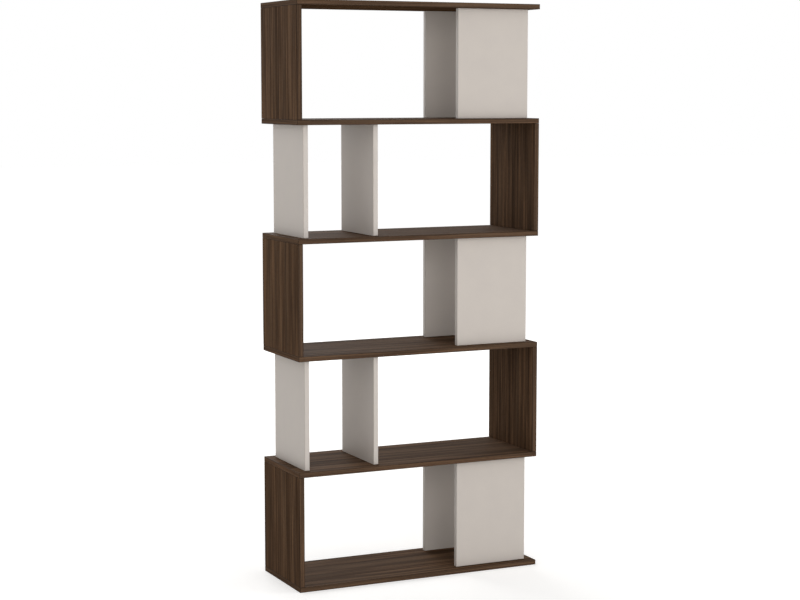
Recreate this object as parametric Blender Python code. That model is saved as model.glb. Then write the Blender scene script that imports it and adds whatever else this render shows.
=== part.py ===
# Open zig-zag bookcase, seen through from front to back.
# Full-width walnut shelves stand one above the other. Each tier between two shelves has one walnut
# side panel, at the left end in odd tiers and at the right end in even tiers, counted from the top.
# At the tier's other end two light panels carry the shelf above: a front and a back panel in odd
# tiers, and an outer and an inner divider, square to the front, in even tiers.
# Each end of an upright has two dowels, glued into it, and one cam fitting that pulls it to its shelf.
# Metres, origin at the middle of the footprint on the floor, +X right, +Y back, +Z up.

import math
from collections import namedtuple

import bmesh
import bpy
from mathutils import Matrix

# Boards
BOARD_THICKNESS = 0.015
SHELF_WIDTH = 0.785
SHELF_DEPTH = 0.285
TIER_COUNT = 5
TIER_HEIGHT = 0.325  # clear height between two shelves
PANEL_EDGE_INSET = 0.025  # light panels, in from the shelves' front and back edges
PANEL_END_INSET = 0.027  # light panels, in from the shelves' short ends

# Clearances
JOINT_GAP = 0.0003  # between an upright's end and its shelf
FIT_GAP = 0.0003  # round a fitting or a dowel in its bore
CUT_MARGIN = 0.002  # how far a cutter stands out of the face that it cuts

# Cam fittings: a round housing in a pocket of the upright, which grips a bolt in the shelf
POCKET_DIAMETER = 0.015
POCKET_WALL = 0.0024  # board left under the pocket
CAM_SETBACK = 0.024  # pocket's axis from the upright's end
CAP_ROOM = 0.0015  # depth kept over the housing for its cover cap
SLOT_WIDTH = 0.002
MOUTH_DIAMETER = 0.007
MOUTH_DEPTH = 0.004
BOLT_BORE_DIAMETER = 0.008
BOLT_THREAD_DIAMETER = 0.006
BOLT_COLLAR_LENGTH = 0.002
BOLT_SHANK_DIAMETER = 0.0045

# Dowels
DOWEL_DIAMETER = 0.008
DOWEL_INSET = 0.042  # from an upright's long edges to its dowels

SHELF_BORE_WALL = 0.0045  # board left under a bolt's or a dowel's bore in a shelf

# Facets of the small round pieces
CAM_SIDES = 12
BOLT_SIDES = 8
SMOOTH_ANGLE = math.radians(50)

# Worked out from the sizes above
UPRIGHT_LENGTH = TIER_HEIGHT - 2 * JOINT_GAP
PANEL_WIDTH = SHELF_DEPTH - 2 * PANEL_EDGE_INSET
SHELF_BORE_DEPTH = BOARD_THICKNESS - SHELF_BORE_WALL
CAM_AXIS = JOINT_GAP + CAM_SETBACK  # height over the shelf's face

Upright = namedtuple("Upright", "label mesh place")


def add_material(name, colour, roughness, metallic=0.0):
    material = bpy.data.materials.new(name)
    material.use_nodes = True
    surface = material.node_tree.nodes["Principled BSDF"]
    surface.inputs["Base Color"].default_value = (*colour, 1)
    surface.inputs["Roughness"].default_value = roughness
    surface.inputs["Metallic"].default_value = metallic
    material.diffuse_color = (*colour, 1)
    return material


def add_object(name, mesh, place=Matrix(), parent=None):
    item = bpy.data.objects.new(name, mesh)
    item.parent = parent
    item.matrix_local = place
    bpy.context.scene.collection.objects.link(item)
    return item


def add_box(shape, size, centre=(0, 0, 0)):
    place = Matrix.Translation(centre) @ Matrix.Diagonal((*size, 1))
    bmesh.ops.create_cube(shape, size=1, matrix=place)


def add_round(shape, diameter, low, high, sides, frame=Matrix()):
    # A round bar from low to high along the frame's Z axis, with a flat towards +X.
    middle = Matrix.Translation((0, 0, (low + high) / 2))
    half_facet = Matrix.Rotation(math.pi / sides, 4, "Z")
    bmesh.ops.create_cone(
        shape,
        cap_ends=True,
        segments=sides,
        radius1=diameter / 2,
        radius2=diameter / 2,
        depth=high - low,
        matrix=frame @ middle @ half_facet,
    )


def add_turned(shape, outline, sides):
    # Turns an outline of (radius, height) points about the Z axis and closes its two ends.
    points = [shape.verts.new((radius, 0, height)) for radius, height in outline]
    edges = [shape.edges.new(pair) for pair in zip(points, points[1:])]
    bmesh.ops.spin(
        shape,
        geom=points + edges,
        cent=(0, 0, 0),
        axis=(0, 0, 1),
        angle=2 * math.pi,
        steps=sides,
        use_merge=True,
    )
    half_facet = Matrix.Rotation(math.pi / sides, 3, "Z")
    bmesh.ops.rotate(shape, verts=shape.verts, cent=(0, 0, 0), matrix=half_facet)
    bmesh.ops.holes_fill(shape, edges=shape.edges, sides=sides)
    bmesh.ops.recalc_face_normals(shape, faces=shape.faces)


def to_mesh(name, shape):
    mesh = bpy.data.meshes.new(name)
    shape.to_mesh(mesh)
    shape.free()
    return mesh


def worked_mesh(name, material, body, steps):
    # The mesh that a body becomes when each step's shape is cut from it or joined to it in turn.
    blank = add_object(name, to_mesh(name, body))
    helpers = [blank]
    for number, (operation, shape) in enumerate(steps):
        helper = add_object(f"{name}_{number}", to_mesh(name, shape))
        helper.hide_render = True
        helper.display_type = "WIRE"
        helpers.append(helper)
        modifier = blank.modifiers.new(operation, "BOOLEAN")
        modifier.operation = operation
        modifier.solver = "EXACT"
        modifier.object = helper

    graph = bpy.context.evaluated_depsgraph_get()
    mesh = bpy.data.meshes.new_from_object(blank.evaluated_get(graph))
    for helper in helpers:
        bpy.data.objects.remove(helper)
    mesh.name = name
    mesh.materials.append(material)
    mesh.shade_smooth()
    mesh.set_sharp_from_angle(angle=SMOOTH_ANGLE)
    return mesh


# A joint frame lies on a shelf's face under or over one end of an upright: +Z runs into the
# upright and +X towards the face of the upright that the cam's pocket opens on.
LOWER_JOINT = Matrix.Translation((0, 0, -TIER_HEIGHT / 2))
UPPER_JOINT = Matrix.Translation((0, 0, TIER_HEIGHT / 2)) @ Matrix.Rotation(math.pi, 4, "X")
# The cam's frame in a joint frame: +Z runs out of the pocket, from the middle of the board.
CAM_FRAME = Matrix.Translation((0, 0, CAM_AXIS)) @ Matrix.Rotation(math.pi / 2, 4, "Y")
POCKET_FLOOR = POCKET_WALL - BOARD_THICKNESS / 2
POCKET_RIM = BOARD_THICKNESS / 2


def dowel_frames(width):
    # The two dowels' places across an upright's width, in a joint frame.
    offset = width / 2 - DOWEL_INSET
    return [Matrix.Translation((0, side * offset, 0)) for side in (-1, 1)]


def cam_fitting_mesh(material):
    # The housing, with a mouth in its rim and a screwdriver slot, and the bolt that it grips.
    top = POCKET_RIM - CAP_ROOM
    rim = CAM_AXIS - POCKET_DIAMETER / 2
    housing = bmesh.new()
    diameter = POCKET_DIAMETER - 2 * FIT_GAP
    add_round(housing, diameter, POCKET_FLOOR + FIT_GAP, top, CAM_SIDES, CAM_FRAME)

    mouth = bmesh.new()
    add_round(mouth, MOUTH_DIAMETER, rim - CUT_MARGIN, rim + MOUTH_DEPTH, BOLT_SIDES)

    slot = bmesh.new()
    slot_depth = (top - MOUTH_DIAMETER / 2) / 2
    add_box(slot, (2 * slot_depth, POCKET_DIAMETER, SLOT_WIDTH), (top, 0, CAM_AXIS))

    bolt = bmesh.new()
    thread = BOLT_THREAD_DIAMETER / 2
    collar = BOLT_BORE_DIAMETER / 2 - FIT_GAP
    shank = BOLT_SHANK_DIAMETER / 2
    collar_top = FIT_GAP + BOLT_COLLAR_LENGTH
    outline = [
        (thread, FIT_GAP - SHELF_BORE_DEPTH),
        (thread, FIT_GAP),
        (collar, FIT_GAP),
        (collar, collar_top),
        (shank, collar_top),
        (shank, CAM_AXIS),
    ]
    add_turned(bolt, outline, BOLT_SIDES)
    steps = [("DIFFERENCE", mouth), ("DIFFERENCE", slot), ("UNION", bolt)]
    return worked_mesh("cam_fitting", material, housing, steps)


def upright_mesh(name, material, width):
    # A board with a pocket, a bolt's bore and two glued dowels at each end.
    board = bmesh.new()
    add_box(board, (BOARD_THICKNESS, width, UPRIGHT_LENGTH))
    bores = bmesh.new()
    pockets = bmesh.new()
    dowels = bmesh.new()
    dowel_tip = FIT_GAP - SHELF_BORE_DEPTH
    for joint in (LOWER_JOINT, UPPER_JOINT):
        add_round(bores, BOLT_BORE_DIAMETER, -CUT_MARGIN, CAM_AXIS, BOLT_SIDES, joint)
        cam = joint @ CAM_FRAME
        add_round(pockets, POCKET_DIAMETER, POCKET_FLOOR, POCKET_RIM + CUT_MARGIN, CAM_SIDES, cam)
        for frame in dowel_frames(width):
            add_round(dowels, DOWEL_DIAMETER, dowel_tip, CAM_AXIS, BOLT_SIDES, joint @ frame)
    steps = [("DIFFERENCE", bores), ("DIFFERENCE", pockets), ("UNION", dowels)]
    return worked_mesh(name, material, board, steps)


def shelf_mesh(name, material, joints):
    # A board with a bore for the bolt and the dowels of each joint, given in the shelf's frame.
    board = bmesh.new()
    add_box(board, (SHELF_WIDTH, SHELF_DEPTH, BOARD_THICKNESS))
    bores = bmesh.new()
    bolt_bore = BOLT_THREAD_DIAMETER + 2 * FIT_GAP
    dowel_bore = DOWEL_DIAMETER + 2 * FIT_GAP
    for joint, width in joints:
        add_round(bores, bolt_bore, -SHELF_BORE_DEPTH, CUT_MARGIN, BOLT_SIDES, joint)
        for frame in dowel_frames(width):
            add_round(bores, dowel_bore, -SHELF_BORE_DEPTH, CUT_MARGIN, BOLT_SIDES, joint @ frame)
    return worked_mesh(name, material, board, [("DIFFERENCE", bores)])


def tier_floor(tier):
    # Height of the shelf's face that the tier stands on. Tier 1 is the top one.
    return BOARD_THICKNESS + (TIER_COUNT - tier) * (TIER_HEIGHT + BOARD_THICKNESS)


def tier_uprights(tier, side_panel, light_panel):
    # The uprights of a tier, each placed by its middle in a frame on the middle of the tier's floor.
    side_x = (SHELF_WIDTH - BOARD_THICKNESS) / 2
    outer_x = PANEL_END_INSET + BOARD_THICKNESS / 2 - SHELF_WIDTH / 2
    inner_x = outer_x + PANEL_WIDTH - BOARD_THICKNESS
    panel_x = SHELF_WIDTH / 2 - PANEL_END_INSET - PANEL_WIDTH / 2
    panel_y = (PANEL_WIDTH - BOARD_THICKNESS) / 2
    places = {
        "left_side_panel": (-side_x, 0, 0),
        "front_panel": (panel_x, -panel_y, 90),
        "back_panel": (panel_x, panel_y, -90),
        "right_side_panel": (side_x, 0, 0),
        "outer_divider": (outer_x, 0, 0),
        "inner_divider": (inner_x, 0, 0),
    }
    odd_labels = ("left_side_panel", "front_panel", "back_panel")
    even_labels = ("right_side_panel", "outer_divider", "inner_divider")
    uprights = []
    for label in odd_labels if tier % 2 else even_labels:
        x, y, turn = places[label]
        middle = Matrix.Translation((x, y, TIER_HEIGHT / 2))
        place = middle @ Matrix.Rotation(math.radians(turn), 4, "Z")
        mesh = side_panel if label.endswith("side_panel") else light_panel
        uprights.append(Upright(label, mesh, place))
    return uprights


def main():
    for item in list(bpy.data.objects):
        bpy.data.objects.remove(item)

    walnut = add_material("walnut_board", (0.075, 0.045, 0.028), 0.5)
    light = add_material("light_board", (0.60, 0.56, 0.52), 0.5)
    zinc = add_material("zinc", (0.56, 0.57, 0.58), 0.4, 1.0)

    side_panel = upright_mesh("side_panel", walnut, SHELF_DEPTH)
    light_panel = upright_mesh("light_panel", light, PANEL_WIDTH)
    widths = {side_panel: SHELF_DEPTH, light_panel: PANEL_WIDTH}
    cam_fitting = cam_fitting_mesh(zinc)

    shelf_joints = [[] for _ in range(TIER_COUNT + 1)]
    for tier in range(1, TIER_COUNT + 1):
        root_place = Matrix.Translation((0, 0, tier_floor(tier)))
        root = add_object(f"tier_{tier}", None, root_place)
        for upright in tier_uprights(tier, side_panel, light_panel):
            name = f"{upright.label}_tier_{tier}"
            add_object(name, upright.mesh, upright.place, root)
            for end, joint in (("lower", LOWER_JOINT), ("upper", UPPER_JOINT)):
                place = upright.place @ joint
                add_object(f"{end}_cam_{name}", cam_fitting, place, root)
                level = tier if end == "lower" else tier - 1
                shelf_joints[level].append((root_place @ place, widths[upright.mesh]))

    for level, joints in enumerate(shelf_joints):
        name = {0: "top_shelf", TIER_COUNT: "base_shelf"}.get(level, f"shelf_{level + 1}")
        place = Matrix.Translation((0, 0, tier_floor(level) - BOARD_THICKNESS / 2))
        in_shelf = [(place.inverted() @ joint, width) for joint, width in joints]
        add_object(name, shelf_mesh(name, walnut, in_shelf), place)


main()
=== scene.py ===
import math

import bpy
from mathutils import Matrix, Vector


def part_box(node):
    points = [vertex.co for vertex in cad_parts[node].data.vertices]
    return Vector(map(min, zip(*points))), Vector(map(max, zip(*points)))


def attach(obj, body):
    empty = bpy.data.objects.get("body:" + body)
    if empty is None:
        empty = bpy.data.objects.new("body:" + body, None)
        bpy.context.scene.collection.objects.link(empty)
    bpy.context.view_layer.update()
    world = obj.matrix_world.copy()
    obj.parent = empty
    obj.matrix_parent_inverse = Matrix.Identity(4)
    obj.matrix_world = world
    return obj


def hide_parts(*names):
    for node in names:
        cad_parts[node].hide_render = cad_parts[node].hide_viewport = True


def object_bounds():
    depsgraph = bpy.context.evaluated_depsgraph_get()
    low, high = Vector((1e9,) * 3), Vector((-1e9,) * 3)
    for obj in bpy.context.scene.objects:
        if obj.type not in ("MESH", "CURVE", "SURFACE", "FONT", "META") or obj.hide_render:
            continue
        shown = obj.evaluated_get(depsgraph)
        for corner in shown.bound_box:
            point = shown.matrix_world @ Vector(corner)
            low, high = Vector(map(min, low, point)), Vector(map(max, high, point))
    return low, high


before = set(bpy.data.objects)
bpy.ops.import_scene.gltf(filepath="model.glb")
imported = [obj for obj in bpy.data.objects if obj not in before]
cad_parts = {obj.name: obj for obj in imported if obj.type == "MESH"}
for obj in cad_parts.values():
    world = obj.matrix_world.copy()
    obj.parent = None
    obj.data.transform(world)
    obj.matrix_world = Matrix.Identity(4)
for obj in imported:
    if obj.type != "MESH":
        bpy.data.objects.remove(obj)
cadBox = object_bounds()
mm = 0.001
speck = 0.001 * mm  # points nearer than this are in one place
axisX, axisY = 0, 1
flat = 0.99  # a face looks along an axis when this much of its normal does

# Camera: the photograph was taken with a shifted lens, which holds its verticals upright. Here the
# camera tilts down instead, because a shifted lens would cut the top off every other view.
view = {
    "place": (-2.397, -5.090, 1.458),  # metres
    "turn": 25.18,  # degrees to the right of straight ahead
    "tilt": 6.39,  # degrees down
    "lens": 84.16,  # mm, for a sensor 36 mm wide
}
bpy.ops.object.camera_add(
    location=view["place"],
    rotation=(math.radians(90 - view["tilt"]), 0, -math.radians(view["turn"])),
)
camera = bpy.context.object
camera.data.lens = view["lens"]
bpy.context.scene.camera = camera
bpy.context.scene.view_settings.view_transform = "Standard"
print("camera set")


def linear(colour):
    # an sRGB hex colour as the linear RGBA that a socket takes
    shares = [int(colour[i : i + 2], 16) / 255 for i in (1, 3, 5)]
    return [s / 12.92 if s <= 0.04045 else ((s + 0.055) / 1.055) ** 2.4 for s in shares] + [1]


def addNode(tree, kind, inputs=None, **settings):
    # A node with its settings, and its inputs linked to sockets or set to values. Inputs that share a
    # name go by number: a colour Mix takes its factor as 0 and its colours as 6 and 7, and gives output 2.
    node = tree.nodes.new("ShaderNode" + kind)
    for name, value in settings.items():
        setattr(node, name, value)
    for name, value in (inputs or {}).items():
        if isinstance(value, bpy.types.NodeSocket):
            tree.links.new(value, node.inputs[name])
        else:
            node.inputs[name].default_value = value
    return node


def newMaterial(name):
    # a material, its emptied node tree, and the object coordinates that its patterns run on
    material = bpy.data.materials.new(name)
    material.use_nodes = True
    tree = material.node_tree
    tree.nodes.clear()
    coordinates = addNode(tree, "TexCoord").outputs["Object"]
    return material, tree, coordinates


def setRamp(ramp, stops):
    # gives a colour ramp its stops, as pairs of a place and a hex colour
    elements = ramp.color_ramp.elements
    while len(elements) < len(stops):
        elements.new(1)
    for element, (place, colour) in zip(elements, stops):
        element.position = place
        element.color = linear(colour)
    return ramp


def stretchedNoise(tree, coordinates, length, width, detail, shift=0):
    # noise drawn out along X, in patches of length by width in mm: another shift shows other patches
    scale = (1 / (length * mm), 1 / (width * mm), 1 / (width * mm))
    drawn = addNode(
        tree, "Mapping", {"Vector": coordinates, "Scale": scale, "Location": (shift, shift, shift)}
    )
    return addNode(tree, "TexNoise", {"Vector": drawn.outputs[0], "Scale": 1, "Detail": detail})


def weighted(tree, parts):
    # the sum of some values, each times its weight
    total = 0.0
    for value, weight in parts:
        total = addNode(
            tree, "Math", {0: value, 1: weight, 2: total}, operation="MULTIPLY_ADD"
        ).outputs[0]
    return total


def finishMaterial(tree, inputs):
    surface = addNode(tree, "BsdfPrincipled", inputs)
    addNode(tree, "OutputMaterial", {"Surface": surface.outputs[0]})


# Walnut melamine: decor paper printed with straight walnut grain, pressed under resin on chipboard
# between plates with an open-pore texture. To the eye it is a matt dark brown in long straight
# streaks, with dark veins and thin lighter lines, and its low sheen greys it at a glancing angle.
walnut = {
    "dark": "#3C2A1B",
    "middle": "#523C2A",
    "light": "#6C513A",
    "grey": "#584839",
    "vein": "#322215",
    "pore": "#2C1D12",
    # the marks of each layer: length and width in mm, how much detail they have, and their own shift
    "bands": (900, 34, 2, 0),
    "streaks": (420, 13, 2, 0),
    "veins": (380, 8, 1, 5),
    "lines": (160, 2.4, 2, 0),
    "pores": (11, 0.5, 1, 0),
    "wander": 8,  # mm that the marks stray sideways
    "wanderLength": 420,
    "spread": 0.09,  # of the noise about its middle, from the dark to the light brown
    # the level of a layer's noise where it starts to colour the board, where it is full, and how full
    "greying": (0.45, 0.7, 0.4),
    "veining": (0.55, 0.66, 0.6),
    "pitting": (0.58, 0.68, 0.6),
    # dark grain is a little rougher than light: tone and roughness of the one and of the other
    "darkRough": (0.4, 0.74),
    "lightRough": (0.6, 0.66),
    "poreDepth": 0.08,  # mm
    "lineHeight": 0.35,  # as a share of the pores' depth
    "relief": 0.5,  # how strongly the pores and lines stand out
}
# how strong the pattern is, how wide its marks run, how much of it is broad bands and fine lines, how
# much of the vein colour lies over all of it, and the specular level
walnutSide = {"contrast": 0.98, "scale": 1.0, "broad": 0.27, "fine": 0.29, "depth": 0.0, "sheen": 0.016}
walnutShelf = {"contrast": 0.88, "scale": 0.85, "broad": 0.12, "fine": 0.2, "depth": 0.02, "sheen": 0.024}
walnutShadedUnderside = dict(walnutShelf, sheen=0.0)  # the same melamine as on top, with its sheen taken out so that the undersides look darker: painted shade
# ABS edge band, printed to match: its pattern is finer and flatter, and its lacquer a little glossier
# on the long edges, which are pressed against a polished roller, than on the shelves' short ends
walnutBand = {"contrast": 0.7, "scale": 0.4, "broad": 0.2, "fine": 0.3, "depth": 0.1, "sheen": 0.16}
walnutEndBand = dict(walnutBand, sheen=0.03)
walnutSideBand = dict(walnutBand, depth=0.26)  # printed a little darker


def walnutMelamine(name, grade, grainTurn, shift=0):
    material, tree, coordinates = newMaterial(name)
    turned = addNode(tree, "Mapping", {"Vector": coordinates, "Rotation": grainTurn}).outputs[0]
    slow = addNode(
        tree, "TexNoise", {"Vector": turned, "Scale": 1 / (walnut["wanderLength"] * mm), "Detail": 1}
    )
    sway = walnut["wander"] * mm
    grain = addNode(
        tree,
        "VectorMath",
        {0: slow.outputs["Color"], 1: (0, sway, sway), 2: turned},
        operation="MULTIPLY_ADD",
    ).outputs[0]

    def layer(marks, widening=1):
        length, width, detail, ownShift = walnut[marks]
        return stretchedNoise(tree, grain, length, width * widening, detail, shift + ownShift)

    bands, streaks, veins = [layer(marks, grade["scale"]) for marks in ("bands", "streaks", "veins")]
    lines, pores = layer("lines"), layer("pores")
    tone = weighted(
        tree,
        [
            (bands.outputs[0], grade["broad"]),
            (streaks.outputs[0], 1 - grade["broad"] - grade["fine"]),
            (lines.outputs[0], grade["fine"]),
        ],
    )
    spread = walnut["spread"] / grade["contrast"]
    brown = setRamp(
        addNode(tree, "ValToRGB", {0: tone}),
        [(0.5 - spread, walnut["dark"]), (0.5, walnut["middle"]), (0.5 + spread, walnut["light"])],
    )
    start, full, most = walnut["greying"]
    greyness = addNode(
        tree,
        "MapRange",
        {"Value": bands.outputs["Color"], "From Min": start, "From Max": full, "To Max": most},
    )
    greyed = addNode(
        tree,
        "Mix",
        {0: greyness.outputs[0], 6: brown.outputs[0], 7: linear(walnut["grey"])},
        data_type="RGBA",
    )
    start, full, most = walnut["veining"]
    veinShade = addNode(
        tree,
        "MapRange",
        {
            "Value": veins.outputs[0],
            "From Min": start,
            "From Max": full,
            "To Min": grade["depth"],
            "To Max": most * grade["contrast"] + grade["depth"],
        },
    )
    veined = addNode(
        tree,
        "Mix",
        {0: veinShade.outputs[0], 6: greyed.outputs[2], 7: linear(walnut["vein"])},
        data_type="RGBA",
    )
    start, full, most = walnut["pitting"]
    openPores = addNode(
        tree, "MapRange", {"Value": pores.outputs[0], "From Min": start, "From Max": full}
    ).outputs[0]
    poreShade = addNode(tree, "Math", {0: openPores, 1: most}, operation="MULTIPLY")
    colour = addNode(
        tree,
        "Mix",
        {0: poreShade.outputs[0], 6: veined.outputs[2], 7: linear(walnut["pore"])},
        data_type="RGBA",
    )
    darkTone, darkRough = walnut["darkRough"]
    lightTone, lightRough = walnut["lightRough"]
    roughness = addNode(
        tree,
        "MapRange",
        {
            "Value": tone,
            "From Min": darkTone,
            "From Max": lightTone,
            "To Min": darkRough,
            "To Max": lightRough,
        },
    )
    height = weighted(tree, [(openPores, -1.0), (lines.outputs[0], walnut["lineHeight"])])
    bump = addNode(
        tree,
        "Bump",
        {"Height": height, "Strength": walnut["relief"], "Distance": walnut["poreDepth"] * mm},
    )
    finishMaterial(
        tree,
        {
            "Base Color": colour.outputs[2],
            "Roughness": roughness.outputs[0],
            "Normal": bump.outputs[0],
            "Specular IOR Level": grade["sheen"],
        },
    )
    return material


# ABS core: where a band's printed face is trimmed to a radius, its dyed plastic shows as a thin
# plain line along the arris, matt from the scraper. Its colour is darker than the print partly as
# painted shade: the dark line along each arris and joint stands in for the shade that falls there.
bandCoreAndShade = {
    "walnut": "#291C12",
    "greige": "#B4ABA3",
    "scrapeLength": 30,  # mm
    "scrapeWidth": 0.4,
    "tint": 0.2,  # how much the scrapes vary the colour
    "smooth": 0.55,  # roughness between the scrapes
    "rough": 0.8,
    "sheen": 0.1,
}


def scrapedCoreAndShade(name, colour):
    material, tree, coordinates = newMaterial(name)
    scrapes = stretchedNoise(tree, coordinates, bandCoreAndShade["scrapeLength"], bandCoreAndShade["scrapeWidth"], 2)
    shade = addNode(
        tree,
        "Mix",
        {0: bandCoreAndShade["tint"], 6: linear(colour), 7: scrapes.outputs["Color"]},
        data_type="RGBA",
        blend_type="OVERLAY",
    )
    roughness = addNode(
        tree,
        "MapRange",
        {"Value": scrapes.outputs[0], "To Min": bandCoreAndShade["smooth"], "To Max": bandCoreAndShade["rough"]},
    )
    finishMaterial(
        tree,
        {
            "Base Color": shade.outputs[2],
            "Roughness": roughness.outputs[0],
            "Specular IOR Level": bandCoreAndShade["sheen"],
        },
    )
    return material


# Light melamine: plain warm-grey paper pressed with a fine pearl texture. It is nearly even, with
# a soft satin look and only a trace of cloudiness.
greige = {
    "dark": "#C4BCB5",
    "light": "#C8C0B8",
    "darkest": 0.3,  # level of the clouds and pearls that is darkest
    "lightest": 0.7,
    "cloud": 60,  # mm
    "cloudShare": 0.7,
    "pearl": 1.6,  # mm
    "pearlShare": 0.3,
    "pearlDepth": 0.03,  # mm
    "relief": 0.4,
    "smooth": 0.42,
    "rough": 0.56,
    "sheen": 0.2,
    "edgeSheen": 0.5,  # its edge band has a smoother face
}


def greigeMelamine(name, sheen, shift=0):
    material, tree, coordinates = newMaterial(name)
    clouds = stretchedNoise(tree, coordinates, greige["cloud"], greige["cloud"], 3, shift)
    pearls = stretchedNoise(tree, coordinates, greige["pearl"], greige["pearl"], 1)
    tone = weighted(
        tree, [(clouds.outputs[0], greige["cloudShare"]), (pearls.outputs[0], greige["pearlShare"])]
    )
    colour = setRamp(
        addNode(tree, "ValToRGB", {0: tone}),
        [(greige["darkest"], greige["dark"]), (greige["lightest"], greige["light"])],
    )
    roughness = addNode(
        tree, "MapRange", {"Value": tone, "To Min": greige["smooth"], "To Max": greige["rough"]}
    )
    bump = addNode(
        tree,
        "Bump",
        {
            "Height": pearls.outputs[0],
            "Strength": greige["relief"],
            "Distance": greige["pearlDepth"] * mm,
        },
    )
    finishMaterial(
        tree,
        {
            "Base Color": colour.outputs[0],
            "Roughness": roughness.outputs[0],
            "Normal": bump.outputs[0],
            "Specular IOR Level": sheen,
        },
    )
    return material


# Raw chipboard: pressed wood flakes, matt and speckled straw to brown. It shows only inside the
# cam pockets and on the ends that stand against a shelf.
chipboard = {
    "dark": "#7A5C3B",
    "middle": "#A98A60",
    "light": "#C9AF86",
    "darkest": 0.25,
    "lightest": 0.75,
    "flake": 2.5,  # mm
    "flakeShare": 0.6,
    "grit": 0.6,  # mm
    "gritShare": 0.4,
    "depth": 0.2,  # mm
    "relief": 0.6,
    "roughness": 0.85,
}


def rawChipboard(name):
    material, tree, coordinates = newMaterial(name)
    flakes = addNode(tree, "TexVoronoi", {"Vector": coordinates, "Scale": 1 / (chipboard["flake"] * mm)})
    grit = stretchedNoise(tree, coordinates, chipboard["grit"], chipboard["grit"], 2)
    tone = weighted(
        tree,
        [(flakes.outputs["Color"], chipboard["flakeShare"]), (grit.outputs[0], chipboard["gritShare"])],
    )
    colour = setRamp(
        addNode(tree, "ValToRGB", {0: tone}),
        [
            (chipboard["darkest"], chipboard["dark"]),
            (0.5, chipboard["middle"]),
            (chipboard["lightest"], chipboard["light"]),
        ],
    )
    bump = addNode(
        tree,
        "Bump",
        {"Height": tone, "Strength": chipboard["relief"], "Distance": chipboard["depth"] * mm},
    )
    finishMaterial(
        tree,
        {
            "Base Color": colour.outputs[0],
            "Roughness": chipboard["roughness"],
            "Normal": bump.outputs[0],
        },
    )
    return material


# Beech: turned dowel rod, pale and close-grained, with short darker flecks along its length.
beech = {
    "dark": "#B98F63",
    "light": "#DDBE94",
    "darkest": 0.35,
    "lightest": 0.6,
    "fleckLength": 4,  # mm
    "fleckWidth": 0.5,
    "roughness": 0.65,
}


def turnedBeech(name):
    material, tree, coordinates = newMaterial(name)
    upright = addNode(tree, "Mapping", {"Vector": coordinates, "Rotation": alongZ})
    flecks = stretchedNoise(tree, upright.outputs[0], beech["fleckLength"], beech["fleckWidth"], 3)
    colour = setRamp(
        addNode(tree, "ValToRGB", {0: flecks.outputs[0]}),
        [(beech["darkest"], beech["dark"]), (beech["lightest"], beech["light"])],
    )
    finishMaterial(tree, {"Base Color": colour.outputs[0], "Roughness": beech["roughness"]})
    return material


# Polyethylene: moulded cover caps, matt, coloured to match the board, with a fine spark texture.
capPlastic = {
    "walnut": "#483423",
    "greige": "#C5BEB6",
    "tint": 0.12,  # how much the texture varies the colour
    "grit": 0.5,  # mm
    "gritDepth": 0.02,
    "relief": 0.3,
    "roughness": 0.5,
    "sheen": 0.15,
}


def mouldedPlastic(name, colour):
    material, tree, coordinates = newMaterial(name)
    grit = stretchedNoise(tree, coordinates, capPlastic["grit"], capPlastic["grit"], 2)
    shade = addNode(
        tree,
        "Mix",
        {0: capPlastic["tint"], 6: linear(colour), 7: grit.outputs["Color"]},
        data_type="RGBA",
        blend_type="OVERLAY",
    )
    bump = addNode(
        tree,
        "Bump",
        {
            "Height": grit.outputs[0],
            "Strength": capPlastic["relief"],
            "Distance": capPlastic["gritDepth"] * mm,
        },
    )
    finishMaterial(
        tree,
        {
            "Base Color": shade.outputs[2],
            "Roughness": capPlastic["roughness"],
            "Normal": bump.outputs[0],
            "Specular IOR Level": capPlastic["sheen"],
        },
    )
    return material


# Zinc alloy: die-cast housings on plated bolts, grey with a soft cloudy shine.
zinc = {
    "dark": "#A9ABAD",
    "light": "#CDCFD0",
    "darkest": 0.3,
    "lightest": 0.7,
    "cloud": 3,  # mm
    "grit": 0.3,
    "gritDepth": 0.02,
    "relief": 0.2,
    "smooth": 0.3,
    "rough": 0.5,
}


def diecastZinc(name):
    material, tree, coordinates = newMaterial(name)
    clouds = stretchedNoise(tree, coordinates, zinc["cloud"], zinc["cloud"], 3)
    grit = stretchedNoise(tree, coordinates, zinc["grit"], zinc["grit"], 1)
    colour = setRamp(
        addNode(tree, "ValToRGB", {0: clouds.outputs[0]}),
        [(zinc["darkest"], zinc["dark"]), (zinc["lightest"], zinc["light"])],
    )
    roughness = addNode(
        tree,
        "MapRange",
        {"Value": grit.outputs[0], "To Min": zinc["smooth"], "To Max": zinc["rough"]},
    )
    bump = addNode(
        tree,
        "Bump",
        {"Height": grit.outputs[0], "Strength": zinc["relief"], "Distance": zinc["gritDepth"] * mm},
    )
    finishMaterial(
        tree,
        {
            "Base Color": colour.outputs[0],
            "Metallic": 1.0,
            "Roughness": roughness.outputs[0],
            "Normal": bump.outputs[0],
        },
    )
    return material


# the turns that lay a pattern's length along each axis
alongX = (0, 0, 0)
alongY = (0, 0, -math.pi / 2)
alongZ = (0, math.pi / 2, 0)
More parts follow.
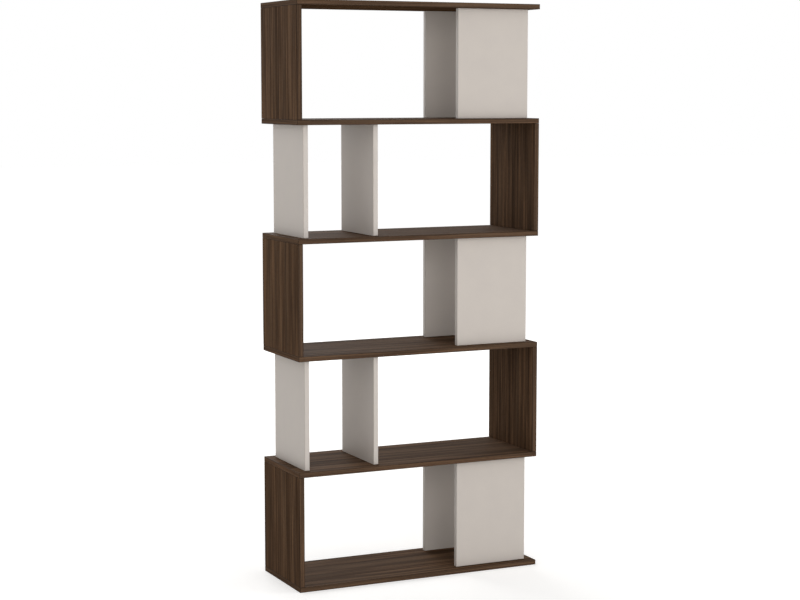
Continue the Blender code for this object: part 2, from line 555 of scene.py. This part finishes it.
# the shifts keep two finishes of one decor from showing the same marks side by side
finishes = {
    "shelfFace": walnutMelamine("walnut_melamine_shelf", walnutShelf, alongX),
    "shelfShadedUnderside": walnutMelamine("walnut_melamine_shaded_underside", walnutShadedUnderside, alongX, shift=5.3),
    "shelfEdge": walnutMelamine("walnut_edge_band_shelf", walnutBand, alongX, shift=31.7),
    "shelfEnd": walnutMelamine("walnut_edge_band_shelf_end", walnutEndBand, alongY, shift=12.3),
    "sideFace": walnutMelamine("walnut_melamine_side", walnutSide, alongZ, shift=11.9),
    "sideEdge": walnutMelamine("walnut_edge_band_side", walnutSideBand, alongZ, shift=47.1),
    "lightFace": greigeMelamine("greige_melamine", greige["sheen"]),
    "lightEdge": greigeMelamine("greige_edge_band", greige["edgeSheen"], shift=8.9),
    # the band cores: their dark colour is partly painted shade along the arrises
    "walnutCore": scrapedCoreAndShade("walnut_band_core_and_shade", bandCoreAndShade["walnut"]),
    "lightCore": scrapedCoreAndShade("greige_band_core_and_shade", bandCoreAndShade["greige"]),
    "raw": rawChipboard("raw_chipboard"),
    "dowel": turnedBeech("turned_beech"),
    "walnutCap": mouldedPlastic("walnut_cover_cap", capPlastic["walnut"]),
    "lightCap": mouldedPlastic("greige_cover_cap", capPlastic["greige"]),
    "zinc": diecastZinc("diecast_zinc"),
}
print("materials made:", len(finishes))


def pick(piece):
    # selects this piece alone
    bpy.ops.object.select_all(action="DESELECT")
    piece.select_set(True)
    bpy.context.view_layer.objects.active = piece


def pickParts(piece, kind, passes):
    # opens edit mode with only the edges or faces selected that pass a test
    bpy.ops.object.mode_set(mode="EDIT")
    bpy.ops.mesh.select_mode(type=kind)
    bpy.ops.mesh.select_all(action="DESELECT")
    bpy.ops.object.mode_set(mode="OBJECT")
    for part in piece.data.edges if kind == "EDGE" else piece.data.polygons:
        part.select = passes(part)
    bpy.ops.object.mode_set(mode="EDIT")


def addBlock(name, low, high):
    # a block between its lowest and highest corners
    bpy.ops.object.select_all(action="DESELECT")
    bpy.ops.mesh.primitive_cube_add(size=1, location=(low + high) / 2, scale=high - low)
    bpy.ops.object.transform_apply(location=True, rotation=True, scale=True)
    piece = bpy.context.object
    piece.name = name
    return piece


def addRod(name, start, end, diameter, sides):
    # a round bar from one point to another
    bpy.ops.object.select_all(action="DESELECT")
    start, end = Vector(start), Vector(end)
    run = end - start
    bpy.ops.mesh.primitive_cylinder_add(
        vertices=sides,
        radius=diameter / 2,
        depth=run.length,
        location=(start + end) / 2,
        rotation=run.to_track_quat("Z", "Y").to_euler(),
    )
    bpy.ops.object.transform_apply(location=True, rotation=True, scale=True)
    piece = bpy.context.object
    piece.name = name
    return piece


def joined(pieces):
    bpy.ops.object.select_all(action="DESELECT")
    for piece in pieces:
        piece.select_set(True)
    bpy.context.view_layer.objects.active = pieces[0]
    bpy.ops.object.join()
    return pieces[0]


def copied(piece, name, place=(0, 0, 0), turn=0, upended=False):
    # a copy with its own mesh, stood on its head or turned about Z, and moved to its place
    pick(piece)
    bpy.ops.object.duplicate()
    twin = bpy.context.object
    twin.name = name
    twin.rotation_euler = (math.pi if upended else 0, 0, turn)
    twin.location = place
    bpy.ops.object.transform_apply(location=True, rotation=True, scale=True)
    return twin


def combine(piece, operation, helper):
    # Cuts the helper from the piece or joins it on, and the new faces keep the helper's material.
    # Points that this leaves in one place are merged.
    pick(piece)
    modifier = piece.modifiers.new(operation, "BOOLEAN")
    modifier.operation = operation
    modifier.object = helper
    modifier.material_mode = "TRANSFER"
    bpy.ops.object.modifier_apply(modifier=modifier.name)
    bpy.data.objects.remove(helper)
    bpy.ops.object.mode_set(mode="EDIT")
    bpy.ops.mesh.select_all(action="SELECT")
    bpy.ops.mesh.remove_doubles(threshold=speck)
    bpy.ops.object.mode_set(mode="OBJECT")


# Boards: 15 mm chipboard with a 1 mm band glued round its edges and the corners eased by sanding.
board = {
    "thickness": 15,  # mm
    "band": 1.0,
    "round": 0.9,
    "roundSteps": 3,
    "jointGap": 0.3,  # mm between an upright and a shelf
    "smoothAngle": 12,  # degrees between faces that are shaded as one
}


def bandedBoard(name, low, high, bands, core, faces):
    # A board with rounded edges, cut by a seam where its bands meet its faces. The bands are pairs of an
    # axis and the finish at its two ends, and the faces' finishes are for those up, down and sideways.
    piece = addBlock(name, low, high)
    seams = {axis: (low[axis] + board["band"] * mm, high[axis] - board["band"] * mm) for axis, _ in bands}
    bpy.ops.object.mode_set(mode="EDIT")
    bpy.ops.mesh.select_all(action="SELECT")
    bpy.ops.mesh.bevel(offset=board["round"] * mm, segments=board["roundSteps"], affect="EDGES")
    for axis, places in seams.items():
        normal = Vector([float(axis == i) for i in range(3)])
        for place in places:
            bpy.ops.mesh.select_all(action="SELECT")
            bpy.ops.mesh.bisect(plane_co=normal * place, plane_no=normal)
    bpy.ops.object.mode_set(mode="OBJECT")

    def lookOf(polygon):
        for axis, band in bands:
            if not seams[axis][0] < polygon.center[axis] < seams[axis][1]:
                # a rounded arris takes the band's core, whose darker colour is partly painted shade
                return band if max(abs(share) for share in polygon.normal) > flat else core
        up, down, sideways = faces
        if abs(polygon.normal.z) > flat:
            return up if polygon.normal.z > 0 else down
        return sideways

    looks = list(dict.fromkeys([*faces, core, *(band for _, band in bands)]))
    for look in looks:
        piece.data.materials.append(look)
    for polygon in piece.data.polygons:
        polygon.material_index = looks.index(lookOf(polygon))
    return piece


def finishPiece(piece, nodes=()):
    pick(piece)
    bpy.ops.object.shade_smooth_by_angle(angle=math.radians(board["smoothAngle"]))
    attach(piece, "root")
    if nodes:
        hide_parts(*nodes)


tierCount = 5
shelfNames = ["top_shelf"] + [f"shelf_{n}" for n in range(2, tierCount + 1)] + ["base_shelf"]
# each kind of upright: its finish, and the turn from +X to the way that its pockets open
uprightKinds = {
    "left_side_panel": ("walnut", 0),
    "right_side_panel": ("walnut", 0),
    "outer_divider": ("light", 0),
    "inner_divider": ("light", 0),
    "front_panel": ("light", math.pi / 2),
    "back_panel": ("light", -math.pi / 2),
}


def uprightNames():
    # every upright's tier and kind, from the top tier down
    odd = ("left_side_panel", "front_panel", "back_panel")
    even = ("right_side_panel", "outer_divider", "inner_divider")
    return [(tier, kind) for tier in range(1, tierCount + 1) for kind in (odd if tier % 2 else even)]


def uprightBox(tier, kind):
    # the board's own corners: its node also holds the dowels, which reach into the shelves
    low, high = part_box(f"{kind}_tier_{tier}")
    low.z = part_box(shelfNames[tier])[1].z + board["jointGap"] * mm
    high.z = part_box(shelfNames[tier - 1])[0].z - board["jointGap"] * mm
    return low, high


# The upright that every other is a copy of stands at the origin, with its width along Y and its
# pockets open towards +X. A joint's pieces are made at its foot and copied to its head.

# Cam bores: a pocket in the upright's face for the housing, and a bore from its end for the bolt.
camBore = {
    "pocketDiameter": 15,  # mm
    "pocketSides": 64,
    "pocketWall": 2.4,  # mm of board left under the pocket
    "boltDiameter": 8,
    "boltSides": 48,
    "margin": 2,  # mm that the cutter stands out of the board
}


def makeCamCutter(camHeight):
    halfThickness = board["thickness"] * mm / 2
    pocketFloor = camBore["pocketWall"] * mm - halfThickness
    margin = camBore["margin"] * mm
    pocket = addRod(
        "camCutter",
        (pocketFloor, 0, camHeight),
        (halfThickness + margin, 0, camHeight),
        camBore["pocketDiameter"] * mm,
        camBore["pocketSides"],
    )
    bolt = addRod(
        "boltCutter",
        (0, 0, -margin),
        (0, 0, camHeight),
        camBore["boltDiameter"] * mm,
        camBore["boltSides"],
    )
    for cutter in (pocket, bolt):
        cutter.data.materials.append(finishes["raw"])
    combine(pocket, "UNION", bolt)
    return pocket


dowelRod = {
    "diameter": 8,  # mm
    "sides": 24,
    "chamfer": 0.8,
    "inset": 42,  # from the upright's long edges
    "root": 5,  # that its solid reaches into the upright
    "depth": 10.2,  # that it reaches into the shelf
}


def dowelOffsets(width):
    # the two dowels' places across an upright's width
    offset = width / 2 - dowelRod["inset"] * mm
    return (-offset, offset)


def makeDowel():
    # from inside the upright down into the shelf, with its tip chamfered
    root = dowelRod["root"] * mm
    tip = -(dowelRod["depth"] + board["jointGap"]) * mm
    dowel = addRod("dowel", (0, 0, root), (0, 0, tip), dowelRod["diameter"] * mm, dowelRod["sides"])
    points = dowel.data.vertices
    pickParts(dowel, "EDGE", lambda edge: all(points[i].co.z < tip + mm for i in edge.vertices))
    bpy.ops.mesh.bevel(offset=dowelRod["chamfer"] * mm, segments=1, affect="EDGES")
    bpy.ops.object.mode_set(mode="OBJECT")
    dowel.data.materials.append(finishes["dowel"])
    return dowel


def makeUprightMaster(name, width, height, camHeight, face, edge, core):
    halfThickness = board["thickness"] * mm / 2
    low, high = Vector((-halfThickness, -width / 2, 0)), Vector((halfThickness, width / 2, height))
    piece = bandedBoard(name, low, high, [(axisY, edge)], core, (finishes["raw"], finishes["raw"], face))
    cutter = makeCamCutter(camHeight)
    combine(piece, "DIFFERENCE", copied(cutter, "headCutter", (0, 0, height), upended=True))
    combine(piece, "DIFFERENCE", cutter)
    dowel = makeDowel()
    dowels = []
    for offset in dowelOffsets(width):
        dowels.append(copied(dowel, "footDowel", (0, offset, 0)))
        dowels.append(copied(dowel, "headDowel", (0, offset, height), upended=True))
    bpy.data.objects.remove(dowel)
    combine(piece, "UNION", joined(dowels))
    return piece


# Cover cap: a crowned disc with a rounded rim, hollow behind, pressed into the cam's pocket.
coverCap = {
    "diameter": 14.6,  # mm
    "sides": 48,
    "thickness": 1.25,
    "recess": 0.15,  # of its rim below the board's face
    "crown": 0.1,  # that its middle stands above the rim
    "crownSteps": (0.55, 0.3, 0.15),  # shares of the crown, from the rim in
    "ringsAcross": 7,  # a ring of the crown is the diameter over this
    "rimRound": 0.3,
    "rimSteps": 3,
    "wall": 0.8,
    "hollow": 0.6,
}


def makeCapMaster(name, height, camHeight, material):
    # the cap in the foot's pocket, and its copy in the head's
    outer = board["thickness"] * mm / 2 - coverCap["recess"] * mm
    inner = outer - coverCap["thickness"] * mm
    diameter = coverCap["diameter"] * mm
    piece = addRod(name, (inner, 0, camHeight), (outer, 0, camHeight), diameter, coverCap["sides"])
    piece.data.materials.append(material)
    pickParts(piece, "FACE", lambda face: face.normal.x > flat)
    for share in coverCap["crownSteps"]:
        bpy.ops.mesh.inset(thickness=diameter / coverCap["ringsAcross"])
        bpy.ops.transform.translate(value=(coverCap["crown"] * mm * share, 0, 0))
    pickParts(piece, "FACE", lambda face: face.normal.x < -flat)
    bpy.ops.mesh.inset(thickness=coverCap["wall"] * mm)
    bpy.ops.transform.translate(value=(coverCap["hollow"] * mm, 0, 0))
    bpy.ops.object.mode_set(mode="OBJECT")
    points = piece.data.vertices
    pickParts(piece, "EDGE", lambda edge: all(abs(points[i].co.x - outer) < speck for i in edge.vertices))
    bpy.ops.mesh.bevel(
        offset=coverCap["rimRound"] * mm, segments=coverCap["rimSteps"], affect="EDGES"
    )
    bpy.ops.object.mode_set(mode="OBJECT")
    head = copied(piece, "headCap", (0, 0, height), upended=True)
    return joined([piece, head])


def makeMasters():
    # one board and one pair of cover caps for each finish, from the first upright of that finish
    masters = {}
    for finish, tier, kind in (("walnut", 1, "left_side_panel"), ("light", 2, "outer_divider")):
        low, high = uprightBox(tier, kind)
        width, height = high.y - low.y, high.z - low.z
        # the top of a lower fitting is its round housing, which is as wide as it is high
        camLow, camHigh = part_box(f"lower_cam_{kind}_tier_{tier}")
        camHeight = camHigh.z - (camHigh.y - camLow.y) / 2 - low.z
        face, edge = ("sideFace", "sideEdge") if finish == "walnut" else ("lightFace", "lightEdge")
        # the core finish's darker colour is partly painted shade along the arrises
        looks = [finishes[part] for part in (face, edge, f"{finish}Core")]
        upright = makeUprightMaster(f"{finish}_upright", width, height, camHeight, *looks)
        caps = makeCapMaster(f"{finish}_caps", height, camHeight, finishes[f"{finish}Cap"])
        masters[finish] = (upright, caps)
    return masters


def makeUprights():
    masters = makeMasters()
    for tier, kind in uprightNames():
        finish, turn = uprightKinds[kind]
        name = f"{kind}_tier_{tier}"
        low, high = uprightBox(tier, kind)
        place = ((low.x + high.x) / 2, (low.y + high.y) / 2, low.z)
        upright, caps = masters[finish]
        finishPiece(copied(upright, f"{name}_board", place, turn), [name])
        finishPiece(copied(caps, f"{name}_cover_caps", place, turn))
    for pieces in masters.values():
        for piece in pieces:
            bpy.data.objects.remove(piece)


makeUprights()
print("uprights made:", len(uprightNames()))

# Bores in a shelf, for the bolt and the dowels of each upright that it carries or lies on.
shelfBore = {
    "boltDiameter": 6.6,  # mm
    "dowelDiameter": 8.6,
    "depth": 10.5,
    "margin": 2,  # that the cutter stands out of the shelf
    "sides": 24,
}


def makeShelf(level):
    name = shelfNames[level]
    low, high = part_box(name)
    bands = [(axisY, finishes["shelfEdge"]), (axisX, finishes["shelfEnd"])]
    # the undersides take the copy without sheen, which is painted shade
    faces = [finishes[look] for look in ("shelfFace", "shelfShadedUnderside", "shelfFace")]
    piece = bandedBoard(f"{name}_board", low, high, bands, finishes["walnutCore"], faces)
    bores = []
    for tier, kind in uprightNames():
        if level not in (tier - 1, tier):
            continue
        carries = level == tier  # or else it lies on this upright
        mouth, into = (high.z, -1) if carries else (low.z, 1)
        turned = uprightKinds[kind][1] != 0
        across = axisX if turned else axisY  # the way that the upright's width runs
        boxLow, boxHigh = uprightBox(tier, kind)
        middle = (boxLow + boxHigh) / 2
        spots = [(0, shelfBore["boltDiameter"])]
        for offset in dowelOffsets(boxHigh[across] - boxLow[across]):
            spots.append((offset, shelfBore["dowelDiameter"]))
        for offset, diameter in spots:
            start = Vector((middle.x, middle.y, mouth - into * shelfBore["margin"] * mm))
            start[across] += offset
            end = start.copy()
            end.z = mouth + into * shelfBore["depth"] * mm
            bores.append(addRod("bore", start, end, diameter * mm, shelfBore["sides"]))
    for bore in bores:
        bore.data.materials.append(finishes["raw"])
    combine(piece, "DIFFERENCE", joined(bores))
    finishPiece(piece, [name])


for level in range(tierCount + 1):
    makeShelf(level)
print("shelves made:", tierCount + 1)

for name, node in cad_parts.items():
    if "_cam_" in name:
        for slot in node.material_slots:
            slot.material = finishes["zinc"]
print("cam fittings finished")

# Studio: a pale floor under an even pale sky, and four large soft lamps. The floor and the sky show
# white to the camera and in reflections, whatever light they give.
studio = {
    "floorColour": "#EDECEA",
    "floorRoughness": 0.9,
    "floorSize": 60,  # metres
    "nearGlow": 0.4,  # what the floor adds to its own light to show white close to the bookcase,
    "farGlow": 0.62,  # and far away, where the lamps don't reach
    "nearEnd": 1.5,  # metres from the middle where the near glow ends,
    "farStart": 5.0,  # and where the far glow starts
    "daylight": 0.5,  # strength of the sky's light
    "lampSize": 3.0,  # metres
    "lamps": [  # place in metres, and watts
        ((0, -4.8, 1.6), 74),
        ((4.2, -2.4, 1.6), 52),
        ((0, 4.8, 2.6), 134),
        ((-3.2, -0.8, 2.2), 14),
    ],
}


def seenDirectly(tree):
    # 1 for rays from the camera, in reflections and through glass, and 0 for the light that falls
    path = addNode(tree, "LightPath")
    seen = 0.0
    for kind in ("Is Camera Ray", "Is Glossy Ray", "Is Transmission Ray"):
        seen = addNode(tree, "Math", {0: path.outputs[kind], 1: seen}, operation="MAXIMUM").outputs[0]
    return seen


def makeFloor():
    bpy.ops.object.select_all(action="DESELECT")
    bpy.ops.mesh.primitive_plane_add(size=studio["floorSize"], location=(0, 0, 0))
    floor = bpy.context.object
    floor.name = "studio_floor"
    material, tree, coordinates = newMaterial("matt_painted_floor")
    away = addNode(tree, "VectorMath", {0: coordinates}, operation="LENGTH")
    share = addNode(
        tree,
        "MapRange",
        {
            "Value": away.outputs["Value"],
            "From Min": studio["nearEnd"],
            "From Max": studio["farStart"],
            "To Min": studio["nearGlow"],
            "To Max": studio["farGlow"],
        },
        interpolation_type="SMOOTHSTEP",
    )
    glow = addNode(tree, "Math", {0: seenDirectly(tree), 1: share.outputs[0]}, operation="MULTIPLY")
    finishMaterial(
        tree,
        {
            "Base Color": linear(studio["floorColour"]),
            "Roughness": studio["floorRoughness"],
            "Specular IOR Level": 0.0,
            "Emission Color": (1, 1, 1, 1),
            "Emission Strength": glow.outputs[0],
        },
    )
    floor.data.materials.append(material)


def makeWorld():
    world = bpy.data.worlds.new("even_daylight")
    bpy.context.scene.world = world
    world.use_nodes = True
    tree = world.node_tree
    tree.nodes.clear()
    strength = addNode(
        tree, "MapRange", {"Value": seenDirectly(tree), "To Min": studio["daylight"], "To Max": 1.0}
    )
    background = addNode(tree, "Background", {"Color": (1, 1, 1, 1), "Strength": strength.outputs[0]})
    addNode(tree, "OutputWorld", {"Surface": background.outputs[0]})


def makeLamps():
    # each faces the middle of the bookcase
    middle = (cadBox[0] + cadBox[1]) / 2
    for place, power in studio["lamps"]:
        towards = (middle - Vector(place)).to_track_quat("-Z", "Y").to_euler()
        bpy.ops.object.light_add(type="AREA", location=place, rotation=towards)
        lamp = bpy.context.object
        lamp.data.size = studio["lampSize"]
        lamp.data.energy = power


makeFloor()
makeWorld()
makeLamps()
print("studio made")
